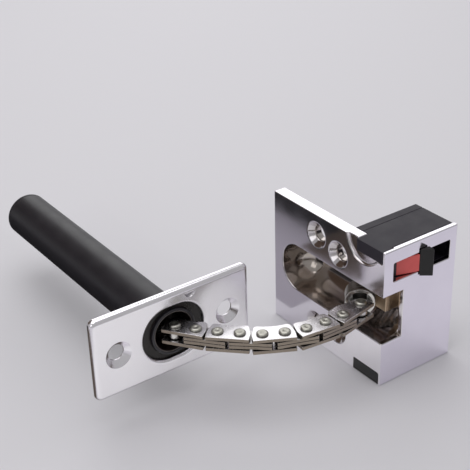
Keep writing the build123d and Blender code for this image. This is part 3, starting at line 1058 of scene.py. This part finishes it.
@dataclass
class PlateChain:
    """The one-way chain: paired plates on riveted pins, stiff one way and free the other."""

    shop: Workshop
    end_mm: float = 3.15
    front_mm: float = 3.1
    back_mm: float = 4.4
    waist_mm: float = 0.7
    waist_rise: float = 0.62
    waist_at: tuple[float, ...] = (0.6, 0.3, 0.0, -0.3, -0.6)
    slant_deg: float = 14.0
    round_mm: float = 1.3
    inset_mm: float = 0.15
    nose_mm: float = 2.6
    nose_taper: float = 0.3
    nose_arc_deg: Point = (10.0, 90.0)
    nose_steps: int = 8
    hole_mm: float = 1.17
    hole_steps: int = 24
    pin_part: float = 0.98
    pin_steps: int = 32
    head_mm: float = 1.75
    head_height_mm: float = 0.75
    crown: tuple[Point, ...] = ((1.0, 0.0), (1.0, 0.5), (0.93, 0.8), (0.76, 1.0))
    dimple_mm: tuple[Point, ...] = ((0.6, 0.0), (0.36, 0.12), (0.0, 0.16))
    edge: EdgeBreak = EdgeBreak(0.16, 2)
    rivet_edge: EdgeBreak = EdgeBreak(0.05, 1)

    def _outline(self, length: float, inset: float, nose: bool) -> list[Point]:
        """Draws a plate's outline, its first pin on the origin.

        Args:
            length: The distance between the plate's pins.
            inset: How far the outline is drawn in.
            nose: Whether the far end is the narrow round one.

        Returns:
            Points anticlockwise, from the front edge's start.
        """
        end = self.end_mm - inset
        low = inset - self.front_mm
        back = self.back_mm - inset
        lean = back * math.tan(math.radians(self.slant_deg))
        points: list[Point] = [(-end, low)]
        near = (lean - end, back)
        if nose:
            tip = self.nose_mm
            after_near = (length * self.nose_taper, back)
            points += [(length + tip, low), (length + tip, 0)]
            points += arc((length, 0), tip, *self.nose_arc_deg, self.nose_steps)
            points.append(after_near)
        else:
            far = (length + end - lean, back)
            after_near = (length / 2, back - self.waist_mm)
            points += [(length + end, low), (length + end, 0)]
            points += rounded_corner((length + end, 0), far, after_near, self.round_mm)
            half = far[0] - self.round_mm - after_near[0]
            rise = self.waist_mm * self.waist_rise
            points += [(after_near[0] + half * t, after_near[1] + rise * t * t) for t in self.waist_at]
        points += rounded_corner(after_near, near, (-end, 0), self.round_mm)
        points.append((-end, 0))
        return points

    def _plate(self, length: float, inset: float, thick: float, nose: bool) -> Piece:
        """Stamps the pattern of one plate with its two pin holes.

        Args:
            length: The distance between its pins.
            inset: How far its outline is drawn in.
            thick: Its thickness.
            nose: Whether its far end is the narrow round one.

        Returns:
            The plate, its first pin on the origin.
        """
        last = 360 - 360 / self.hole_steps
        holes = [arc((x, 0.0), self.hole_mm, 0, last, self.hole_steps - 1) for x in (0.0, length)]
        return pierced_plate("plate_pattern", self._outline(length, inset, nose), holes, thick, self.edge)

    def _rivet(self, tip: float) -> Piece:
        """Turns the pattern of one pin with a spun head on each end.

        Args:
            tip: The height of its ends above and below the chain's middle, in millimetres.

        Returns:
            The rivet, standing on the origin.
        """
        under = tip - self.head_height_mm
        upper = [(under, self.hole_mm * self.pin_part)]
        upper += [(under + self.head_height_mm * z, self.head_mm * r) for r, z in self.crown]
        upper += [(tip - depth, r) for r, depth in self.dimple_mm]
        stations = [(-z, r) for z, r in reversed(upper)] + upper
        return self.rivet_edge.finish(turned("rivet_pattern", TO_METRES, stations, self.pin_steps))

    def _thickness(self, kind: Link) -> float:
        """Measures the first plate of a kind, in millimetres."""
        low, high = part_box(f"{kind.value}_plate_1_upper")
        return (high.z - low.z) / MM

    def build(self) -> None:
        """Builds every link on the frame's pins."""
        shop = self.shop
        pins = shop.pins()
        row = row_repeater()
        thick = {kind: self._thickness(kind) for kind in Link}
        rivet = self._rivet(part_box("link_pins_1")[1].z / MM)
        patterns = [rivet]
        for index, (pin, after) in enumerate(zip(pins, pins[1:])):
            kind = Link.INNER if index % 2 else Link.OUTER
            number = index // 2 + 1
            step = after - pin
            last = index == len(pins) - 2
            inset = self.inset_mm if kind is Link.INNER else 0.0
            pattern = self._plate(step.length / MM, inset, thick[kind], last)
            patterns.append(pattern)
            upper, lower = (f"{kind.value}_plate_{number}_{side}" for side in ("upper", "lower"))
            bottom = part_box(lower)[0].z
            pair = row.make(
                f"{kind.value}_link_{number}_plates",
                shop.material(STAMPED_STEEL),
                {
                    "Pattern": pattern,
                    "First": (pin.x, pin.y, bottom),
                    "Step": (0, 0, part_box(upper)[0].z - bottom),
                    "Count": 2,
                    "Turn": (0, 0, math.atan2(step.y, step.x)),
                },
            )
            shop.fit(pair, STAMPED_STEEL, upper, lower)
            if kind is Link.OUTER:
                heads = row.make(
                    f"{kind.value}_link_{number}_rivets",
                    shop.material(RIVET_STEEL),
                    {"Pattern": rivet, "First": tuple(pin), "Step": tuple(step), "Count": 2},
                )
                shop.fit(heads, RIVET_STEEL, f"link_pins_{number}")
        for pattern in patterns:
            bpy.data.objects.remove(pattern)


@dataclass
class BracketCasting:
    """The keep's cast bracket, in millimetres from its outer front corner at half height."""

    leaf_mm: float = 4.3
    front_mm: float = 1.8
    far_round_mm: float = 0.7
    far_steps: int = 6
    slot_height_mm: float = 16.1
    slot_end_mm: float = 47.3
    slot_round_mm: float = 7.4
    trough_mm: float = 12.0
    boss_wall_mm: float = 2.3
    notch_mm: float = 8.1
    holes_mm: tuple[Point, ...] = ((30.6, 16.1), (20.4, 13.7))
    hole_radius_mm: float = 2.5
    sink_radius_mm: float = 4.3
    tab_mm: Place = (1.0, 12.2, 4.0)
    tab_play_mm: float = 0.04
    window_x_mm: Point = (3.8, 26.4)
    window_z_mm: Point = (12.3, 18.5)
    dish_y_mm: float = 9.3
    dish_mm: Point = (7.6, 0.9)
    dish_steps: int = 8
    dish_sides: int = 96
    bolt_room_mm: float = 0.25
    over_mm: float = 0.5
    steps: int = 32
    edge: EdgeBreak = EdgeBreak(0.35, angle=math.radians(12), least_mm=1.4)

    def _leaves(self, name: str, width: float, length: float, top: float) -> Piece:
        """Casts both leaves, with the far end of the front leaf rounded.

        Args:
            name: The piece's name.
            width: The front leaf's reach.
            length: The long leaf's reach.
            top: Half of the height.

        Returns:
            Both leaves as one solid.
        """
        r = self.far_round_mm
        plan: list[Point] = [(0.0, 0.0)]
        plan += arc((width - r, r), r, -90, 0, self.far_steps)
        plan += arc((width - r, self.front_mm - r), r, 0, 90, self.far_steps)
        plan += [(self.leaf_mm, self.front_mm), (self.leaf_mm, length), (0.0, length)]
        return ringed(name, [[Vector((x, y, z)) for x, y in plan] for z in (-top, top)])

    def _slot_ring(self, grow: float, y: float, start: float) -> list[Vector]:
        """Draws the trough's section at a distance along the leaf.

        Args:
            grow: How far the section is grown, or drawn in where negative.
            y: The distance from the front.
            start: How far the section reaches out of the leaf's face.

        Returns:
            Points from the leaf's face round the bottom and back to the face.
        """
        radius = self.slot_height_mm / 2
        bottom = arc((self.trough_mm - radius, 0), radius + grow, -90, 90, self.steps)
        rim = [(-start, radius + grow), (-start, -radius - grow)]
        return [Vector((x, y, z)) for x, z in bottom + rim]

    def _trough(self) -> Piece:
        """Makes the trough's hollow, behind the front leaf, with its rounded end.

        Returns:
            The tool.
        """
        r = self.slot_round_mm
        rings = [self._slot_ring(0, self.front_mm, r)]
        for i in range(self.steps // 2 + 1):
            a = math.pi * i / self.steps
            y = self.slot_end_mm - r + r * math.sin(a)
            rings.append(self._slot_ring(r * (math.cos(a) - 1), y, r))
        return ringed("trough", rings)

    def _boss(self) -> Piece:
        """Makes the wall behind the trough.

        Returns:
            The solid that joins the leaves.
        """
        back = self.slot_end_mm + self.boss_wall_mm
        reach = (self.front_mm / 2, back)
        return ringed("boss", [self._slot_ring(self.boss_wall_mm, y, -self.front_mm) for y in reach])

    def _into_leaf(self, name: str, y: float, z: float, stations: Sequence[Point], steps: int = 64) -> Piece:
        """Makes a round tool that goes into the leaf's face."""
        return turned(name, Matrix.Translation((0, y, z)) @ ALONG_X, stations, steps)

    def _dish(self, top: float) -> Piece:
        """Makes the tool for the flat dish round the upper tab, with its rounded wall.

        Args:
            top: Half of the bracket's height.

        Returns:
            The tool.
        """
        wide, deep = self.dish_mm
        turn = [math.pi / 2 * i / self.dish_steps for i in range(self.dish_steps + 1)]
        stations = [(-self.over_mm, wide)]
        stations += [(deep * math.sin(a), wide - deep * (1 - math.cos(a))) for a in turn]
        return self._into_leaf("dish", self.dish_y_mm, top, stations, self.dish_sides)

    def build(self, name: str, low: Vector, high: Vector, bolt: tuple[Vector, Vector]) -> Piece:
        """Casts the bracket.

        Args:
            name: The piece's name.
            low: The bracket's low corner in metres.
            high: Its high corner in metres.
            bolt: The lock bolt's corners, which its slot clears.

        Returns:
            The bracket in its place.
        """
        width, length, height = (high - low) / MM
        top = height / 2
        over = self.over_mm
        half = self.slot_height_mm / 2
        casting = self._leaves(name, width, length, top)
        carve(casting, self._boss(), Carving.JOIN)
        carve(casting, self._trough())
        carve(casting, block((-over, -over, -half), (self.notch_mm, self.front_mm, half)))
        sink = sink_stations(self.hole_radius_mm, self.sink_radius_mm, self.leaf_mm, over)
        for y, z in self.holes_mm:
            for side in (1, -1):
                carve(casting, self._into_leaf("sink", y, side * z, sink))
        carve(casting, self._dish(top))
        near, far, tall = self.tab_mm
        for z0, z1 in ((top - tall, top + over), (-top - over, tall - top)):
            carve(casting, block((-over, near, z0), (self.leaf_mm + self.tab_play_mm, far, z1)))
        window = zip(self.window_x_mm, (-over, self.front_mm), self.window_z_mm)
        carve(casting, block(*window))
        room = Vector((self.bolt_room_mm,) * 3)
        slot_low = (bolt[0] - low) / MM - room
        slot_high = (bolt[1] - low) / MM + room
        slot_top = half + 2 * self.boss_wall_mm
        carve(casting, block((slot_low.x, slot_low.y, 0), (slot_high.x, slot_high.y, slot_top)))
        corner = Matrix.Translation((low.x, low.y, (low.z + high.z) / 2))
        casting.data.transform(corner @ TO_METRES)
        return self.edge.finish(casting)


@dataclass
class LidScrew:
    """A small screw with a flat head and a cross recess, in millimetres."""

    shank_mm: float = 1.2
    head_mm: float = 2.2
    head_height_mm: float = 1.4
    cross_mm: float = 1.35
    blade_mm: float = 0.5
    depth_mm: float = 0.8
    edge: EdgeBreak = EdgeBreak(0.1, 2)

    def build(self, length: float) -> Piece:
        """Makes the pattern of the screw.

        Args:
            length: The whole length in millimetres.

        Returns:
            The screw, its tip on the origin and its head along +Y.
        """
        under = length - self.head_height_mm
        shank, head, deep = self.shank_mm, self.head_mm, self.depth_mm
        stations = [(0.0, shank), (under, shank), (under, head), (length, head)]
        screw = turned("screw_pattern", Matrix(), stations)
        blade = self.blade_mm / 2
        for x, y in ((self.cross_mm, blade), (blade, self.cross_mm)):
            carve(screw, block((-x, -y, length - deep), (x, y, length + deep)))
        screw.data.transform(ALONG_Y @ TO_METRES)
        return self.edge.finish(screw)


@dataclass
class FrameKeep:
    """The keep for the door frame: the bracket, its housing, switch and bolt, and the chain's knob."""

    shop: Workshop
    casting: BracketCasting = field(default_factory=BracketCasting)
    screw: LidScrew = field(default_factory=LidScrew)
    moulded_edge: EdgeBreak = EdgeBreak(0.22)
    small_edge: EdgeBreak = EdgeBreak(0.12, 2)

    def build(self) -> None:
        """Builds and dresses every piece of the keep."""
        shop = self.shop
        bracket = self.casting.build("plated_bracket", *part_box("keep_bracket"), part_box("lock_bolt"))
        shop.fit(bracket, PLATED_ZINC, "keep_bracket")
        shop.rounded("moulded_housing", "switch_housing", GREY_ABS, self.moulded_edge)
        shop.rounded("housing_lid", "housing_cover", GREY_ABS, self.moulded_edge)
        self._lid_screws()
        shop.rounded("moulded_filler", "filler_block", BLACK_ABS, self.moulded_edge)
        shop.rounded("sliding_plate", "switch_slider", BLACK_ABS, self.small_edge)
        shop.rounded("red_flag", "red_indicator", RED_ABS, self.small_edge)
        shop.rounded("thumb_piece", "switch_thumb", BLACK_ABS, self.moulded_edge)
        shop.rounded("drop_bolt", "lock_bolt", OILED_STEEL, self.small_edge)
        shop.rounded("ribbed_knob", "end_knob", TURNED_STEEL, self.small_edge)

    def _lid_screws(self) -> None:
        """Sets the lid's two screws in a row."""
        low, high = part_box("cover_screws")
        reach = self.screw.head_mm * MM
        pattern = self.screw.build((high.y - low.y) / MM)
        screws = row_repeater().make(
            "lid_screws",
            self.shop.material(TURNED_STEEL),
            {
                "Pattern": pattern,
                "First": (low.x + reach, low.y, (low.z + high.z) / 2),
                "Step": (high.x - low.x - 2 * reach, 0, 0),
                "Count": 2,
            },
        )
        bpy.data.objects.remove(pattern)
        self.shop.fit(screws, TURNED_STEEL, "cover_screws")


def matt_material(name: str, colour: str, rough: float = 0.8) -> bpy.types.Material:
    """Makes a plain matt material for the studio.

    Args:
        name: Its name.
        colour: Its sRGB hex colour.
        rough: Its roughness.

    Returns:
        The material.
    """
    material = bpy.data.materials.new(name)
    material.use_nodes = True
    shader = material.node_tree.nodes["Principled BSDF"]
    shader.inputs["Base Color"].default_value = linear(colour)
    shader.inputs["Roughness"].default_value = rough
    return material


@dataclass(frozen=True)
class Softbox:
    """One lamp of the studio."""

    name: str
    place_mm: Place
    aim_mm: Place
    size_mm: Point
    watts: float

    def build(self) -> None:
        """Hangs the lamp."""
        light = bpy.data.lights.new(self.name, "AREA")
        light.shape = "RECTANGLE"
        light.size, light.size_y = (s * MM for s in self.size_mm)
        light.energy = self.watts
        obj = bpy.data.objects.new(self.name, light)
        place = Vector(self.place_mm) * MM
        obj.location = place
        obj.rotation_euler = (Vector(self.aim_mm) * MM - place).to_track_quat("-Z", "Y").to_euler()
        bpy.context.scene.collection.objects.link(obj)


@dataclass(frozen=True)
class Flag:
    """A studio flag or card, out of shot, that only mirrors show."""

    name: str
    centre_mm: Place
    size_mm: Point
    colour: str
    facing: Place = (0.0, 0.0, 1.0)

    def build(self, floor: float) -> None:
        """Sets the flag up.

        Args:
            floor: The floor's height in metres, from which the flag's height counts.
        """
        half = Vector(self.size_mm) * MM / 2
        corners = [Vector((x * half.x, y * half.y, 0)) for x, y in ((-1, -1), (1, -1), (1, 1), (-1, 1))]
        place = Vector(self.centre_mm) * MM + Vector((0, 0, floor))
        turn = Vector(self.facing).to_track_quat("Z", "Y")
        mesh = bpy.data.meshes.new(self.name)
        mesh.from_pydata([place + turn @ c for c in corners], [], [(0, 1, 2, 3)])
        mesh.materials.append(matt_material(self.name, self.colour))
        obj = new_piece(self.name, mesh)
        obj.visible_camera = False
        obj.visible_diffuse = False
        obj.visible_shadow = False
        obj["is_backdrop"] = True


@dataclass
class Studio:
    """The pale floor, the lamps, the world and the camera at the photograph's angle."""

    azimuth_deg: float = -34.99
    elevation_deg: float = 28.83
    roll_deg: float = -1.75
    camera_mm: Place = (-142.24, -237.48, 182.74)
    lens_mm: float = 86.17
    sensor_mm: float = 36.0
    clip_mm: float = 10.0
    floor_mm: float = 3000.0
    floor_colour: str = "#DAD8DD"
    world_colour: str = "#FFFFFF"
    world_strength: float = 0.42
    lamps: tuple[Softbox, ...] = (
        Softbox("top_box", (-20, 60, 560), (20, 0, 0), (560, 560), 1.5),
        Softbox("back_box", (330, 450, 320), (30, 0, 0), (640, 420), 0.95),
        Softbox("left_box", (-460, -160, 260), (10, -10, 0), (260, 260), 0.2),
    )
    flags: tuple[Flag, ...] = (
        Flag("far_flag", (-90, 150, 0.4), (190, 208), "#1A181C"),
        Flag("warm_flag", (-30, 24, 0.4), (92, 44), "#54483F"),
        Flag("grey_flag", (25, 70, 0.2), (40, 110), "#A9A5AD"),
        Flag("white_card", (-5.5, -95, 0.2), (113, 178), "#FFFFFF"),
        Flag("front_card", (103, -95, 0.2), (104, 178), "#E8E5EF"),
        Flag("brown_wall", (-75, 190, 150), (260, 200), "#6A5849", (0.46, -0.72, -0.48)),
    )

    def build(self) -> None:
        """Builds the whole studio."""
        self._camera()
        self._floor()
        self._world()
        for lamp in self.lamps:
            lamp.build()
        for flag in self.flags:
            flag.build(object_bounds()[0].z)
        bpy.context.scene.view_settings.view_transform = "Standard"

    def _camera(self) -> None:
        """Sets the camera from its place, heading and roll."""
        az, el, roll = (math.radians(a) for a in (self.azimuth_deg, self.elevation_deg, self.roll_deg))
        back = Vector((math.sin(az) * math.cos(el), -math.cos(az) * math.cos(el), math.sin(el)))
        side = Vector((math.cos(az), math.sin(az), 0))
        up = back.cross(side)
        right = side * math.cos(roll) + up * math.sin(roll)
        top = up * math.cos(roll) - side * math.sin(roll)
        data = bpy.data.cameras.new("photo_camera")
        data.lens = self.lens_mm
        data.sensor_width = self.sensor_mm
        data.sensor_fit = "HORIZONTAL"
        data.clip_start = self.clip_mm * MM
        camera = bpy.data.objects.new("photo_camera", data)
        turn = Matrix((right, top, back)).transposed().to_4x4()
        camera.matrix_world = Matrix.Translation(Vector(self.camera_mm) * MM) @ turn
        bpy.context.scene.collection.objects.link(camera)
        bpy.context.scene.camera = camera

    def _floor(self) -> None:
        """Lays the pale floor under the lowest piece."""
        half = self.floor_mm / 2 * MM
        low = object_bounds()[0].z
        mesh = bpy.data.meshes.new("pale_floor")
        corners = [(-half, -half, low), (half, -half, low), (half, half, low), (-half, half, low)]
        mesh.from_pydata(corners, [], [(0, 1, 2, 3)])
        mesh.materials.append(matt_material("matt_pale_floor", self.floor_colour))
        new_piece("pale_floor", mesh)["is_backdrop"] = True

    def _world(self) -> None:
        """Lights the room evenly."""
        world = bpy.data.worlds.new("soft_room")
        world.use_nodes = True
        background = world.node_tree.nodes["Background"]
        background.inputs["Color"].default_value = linear(self.world_colour)
        background.inputs["Strength"].default_value = self.world_strength
        bpy.context.scene.world = world


def main() -> None:
    """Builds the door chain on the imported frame, and the studio round it."""
    logging.basicConfig(level=logging.INFO, format="%(name)s: %(message)s")
    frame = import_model()
    shop = Workshop(frame)
    for unit in (DoorUnit(shop), PlateChain(shop), FrameKeep(shop)):
        unit.build()
    Studio().build()


if __name__ == "__main__":
    main()
